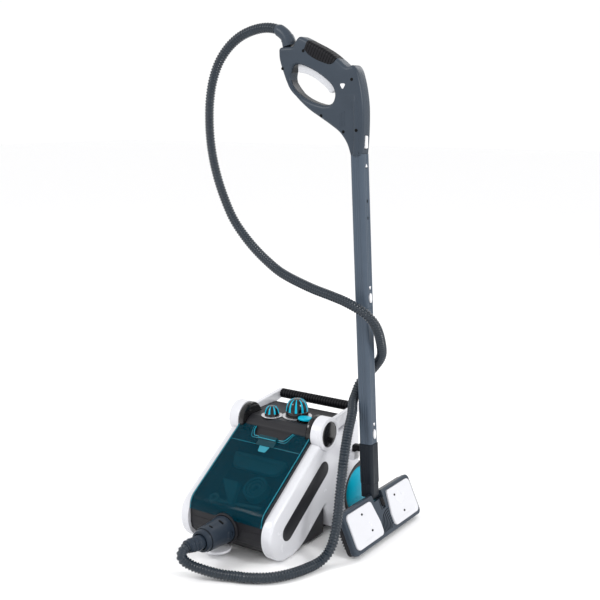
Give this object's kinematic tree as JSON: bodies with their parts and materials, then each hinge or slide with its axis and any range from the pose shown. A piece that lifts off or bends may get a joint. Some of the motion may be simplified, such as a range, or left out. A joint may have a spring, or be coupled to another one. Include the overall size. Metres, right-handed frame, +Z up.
{
  "type": "canister steam cleaner",
  "caption": "Canister steam cleaner with tinted tool compartment, fold-back bail handle, corrugated steam hose and a steam gun with tubes and floor head parked upright beside it.",
  "frame": {"origin": "on the floor, at the middle of the whole object's bounding box without the free hose and its ends", "axes": "+Z up, -Y the canister's front with the hose socket, +X the side where the wand is parked"},
  "size_m": [0.5145, 0.5737, 1.1272],
  "materials": {
    "white_shell": "gloss",
    "charcoal_body": "satin",
    "black_gloss": "gloss",
    "lid_teal": "clear tinted, gloss",
    "teal_plastic": "satin",
    "bezel_silver": "silver, satin",
    "wand_grey": "satin",
    "hose_grey": "ribbed, satin",
    "black_rubber": "matt",
    "tyre_rubber": "ribbed, matt",
    "steel": "brushed",
    "brass": "machined",
    "circuit_board": "satin",
    "trigger_grey": "satin",
    "bristle_black": "bristles, matt"
  },
  "bodies": {
    "canister": {"base_tub": "charcoal_body", "side_panel_left": "white_shell", "side_panel_right": "white_shell", "side_inlay_left": "black_gloss", "side_inlay_right": "black_gloss", "top_deck": "charcoal_body", "deck_bezel": "bezel_silver", "hub_collar_left": "black_gloss", "hub_collar_right": "black_gloss", "accessory_tray": "charcoal_body", "boiler_tank": "steel", "heating_element": "steel", "steam_valve": "brass", "steam_pipe": "brass", "control_board": "circuit_board", "cord_inlet": "black_rubber", "hose_socket": "charcoal_body", "rear_axle": "steel", "caster_bracket": "white_shell", "parking_socket": "white_shell", "window_squeegee": "lid_teal", "round_brush": "wand_grey", "hose_plug": "wand_grey", "plug_boot": "wand_grey", "hose": "hose_grey"},
    "lid": {"lid_panel": "lid_teal"},
    "lid_latch": {"lid_latch": "lid_teal"},
    "steam_knob": {"steam_knob": "black_gloss"},
    "boiler_cap": {"boiler_cap": "black_gloss"},
    "power_button": {"power_button": "teal_plastic"},
    "handle": {"handle_arm_left": "white_shell", "handle_arm_right": "white_shell", "handle_grip": "black_rubber"},
    "wheel_left": {"wheel_tyre_left": "tyre_rubber", "wheel_cap_left": "teal_plastic"},
    "wheel_right": {"wheel_tyre_right": "tyre_rubber", "wheel_cap_right": "teal_plastic"},
    "caster_fork": {"caster_fork": "black_gloss"},
    "caster_wheel": {"caster_roller": "trigger_grey"},
    "plug_button": {"plug_button": "wand_grey"},
    "wand": {"wand_neck": "wand_grey", "lower_tube": "wand_grey", "upper_tube": "wand_grey", "gun_shell_front": "wand_grey", "gun_shell_back": "wand_grey", "gun_valve": "brass", "grip_insert": "black_rubber", "hose_cuff": "wand_grey"},
    "trigger": {"trigger": "trigger_grey"},
    "trigger_lock": {"trigger_lock": "white_shell"},
    "gun_button": {"gun_button": "white_shell"},
    "upper_tube_button": {"upper_tube_button": "white_shell"},
    "lower_tube_button": {"lower_tube_button": "white_shell"},
    "swivel": {"head_knuckle": "wand_grey"},
    "head": {"head_shell": "wand_grey", "head_base": "charcoal_body", "bristle_field": "bristle_black"},
    "flap_left": {"flap_left": "white_shell"},
    "flap_right": {"flap_right": "white_shell"},
    "head_slider": {"head_slider": "black_gloss"}
  },
  "joints": [
    {"name": "lid_hinge", "type": "hinge", "parent": "canister", "child": "lid", "pos_m": [-0.0609, -0.1974, 0.085], "axis": [1, 0, 0], "range_deg": [0, 50]},
    {"name": "latch_slide", "type": "slide", "parent": "lid", "child": "lid_latch", "axis": [0, -0.8231, -0.5678], "range_m": [0, 0.003], "stiffness_N_per_m": 250, "springref_m": -0.002},
    {"name": "steam_knob_turn", "type": "hinge", "parent": "canister", "child": "steam_knob", "pos_m": [-0.0989, 0.0271, 0.248], "axis": [0, 0, 1], "range_deg": [-135, 135]},
    {"name": "boiler_cap_turn", "type": "hinge", "parent": "canister", "child": "boiler_cap", "pos_m": [-0.0489, 0.0561, 0.248], "axis": [0, 0, 1], "range_deg": [0, 330]},
    {"name": "power_button_press", "type": "slide", "parent": "canister", "child": "power_button", "axis": [0, 0, -1], "range_m": [0, 0.003], "stiffness_N_per_m": 300, "springref_m": -0.002},
    {"name": "handle_fold", "type": "hinge", "parent": "canister", "child": "handle", "pos_m": [-0.0609, 0.0161, 0.237], "axis": [1, 0, 0], "range_deg": [0, 95]},
    {"name": "wheel_left_spin", "type": "hinge", "parent": "canister", "child": "wheel_left", "pos_m": [-0.0609, 0.1561, 0.0635], "axis": [1, 0, 0], "continuous": true},
    {"name": "wheel_right_spin", "type": "hinge", "parent": "canister", "child": "wheel_right", "pos_m": [-0.0609, 0.1561, 0.0635], "axis": [1, 0, 0], "continuous": true},
    {"name": "caster_swivel", "type": "hinge", "parent": "canister", "child": "caster_fork", "pos_m": [-0.0789, -0.1889, 0.012], "axis": [0, 0, 1], "continuous": true},
    {"name": "caster_roll", "type": "hinge", "parent": "caster_fork", "child": "caster_wheel", "pos_m": [-0.0789, -0.1989, 0.0065], "axis": [1, 0, 0], "continuous": true},
    {"name": "plug_button_press", "type": "slide", "parent": "canister", "child": "plug_button", "axis": [-1, 0, 0], "range_m": [0, 0.002], "stiffness_N_per_m": 300, "springref_m": -0.002},
    {"name": "wand_lift", "type": "slide", "parent": "canister", "child": "wand", "axis": [0, 0, 1], "range_m": [0, 0.06], "deforming": ["hose"]},
    {"name": "trigger_pull", "type": "hinge", "parent": "wand", "child": "trigger", "pos_m": [0.0376, 0.0811, 0.99], "axis": [0, 1, 0], "range_deg": [0, 5], "stiffness_Nm_per_rad": 1.2, "springref_deg": -5.73},
    {"name": "trigger_lock_slide", "type": "slide", "parent": "wand", "child": "trigger_lock", "axis": [0, 1, 0], "range_m": [0, 0.003]},
    {"name": "gun_button_press", "type": "slide", "parent": "wand", "child": "gun_button", "axis": [-1, 0, 0], "range_m": [0, 0.0028], "stiffness_N_per_m": 300, "springref_m": -0.002},
    {"name": "upper_tube_button_press", "type": "slide", "parent": "wand", "child": "upper_tube_button", "axis": [-0.9988, 0, -0.0499], "range_m": [0, 0.0018], "stiffness_N_per_m": 300, "springref_m": -0.002},
    {"name": "lower_tube_button_press", "type": "slide", "parent": "wand", "child": "lower_tube_button", "axis": [-0.9988, 0, -0.0499], "range_m": [0, 0.0018], "stiffness_N_per_m": 300, "springref_m": -0.002},
    {"name": "head_swivel", "type": "hinge", "parent": "wand", "child": "swivel", "pos_m": [0.1331, 0.0811, 0.09], "axis": [-0.0499, 0, 0.9988], "range_deg": [-12, 12]},
    {"name": "head_tilt", "type": "hinge", "parent": "swivel", "child": "head", "pos_m": [0.14005, 0.0811, 0.08858], "axis": [0, -1, 0], "range_deg": [0, 65]},
    {"name": "flap_left_open", "type": "hinge", "parent": "head", "child": "flap_left", "pos_m": [0.17215, 0.0561, 0.05702], "axis": [-0.4131, 0, 0.9107], "range_deg": [0, 35]},
    {"name": "flap_right_open", "type": "hinge", "parent": "head", "child": "flap_right", "pos_m": [0.17215, 0.1061, 0.05702], "axis": [0.4131, 0, -0.9107], "range_deg": [0, 35]},
    {"name": "head_slider_slide", "type": "slide", "parent": "head", "child": "head_slider", "axis": [0.4131, 0, -0.9107], "range_m": [0, 0.0055]}
  ]
}
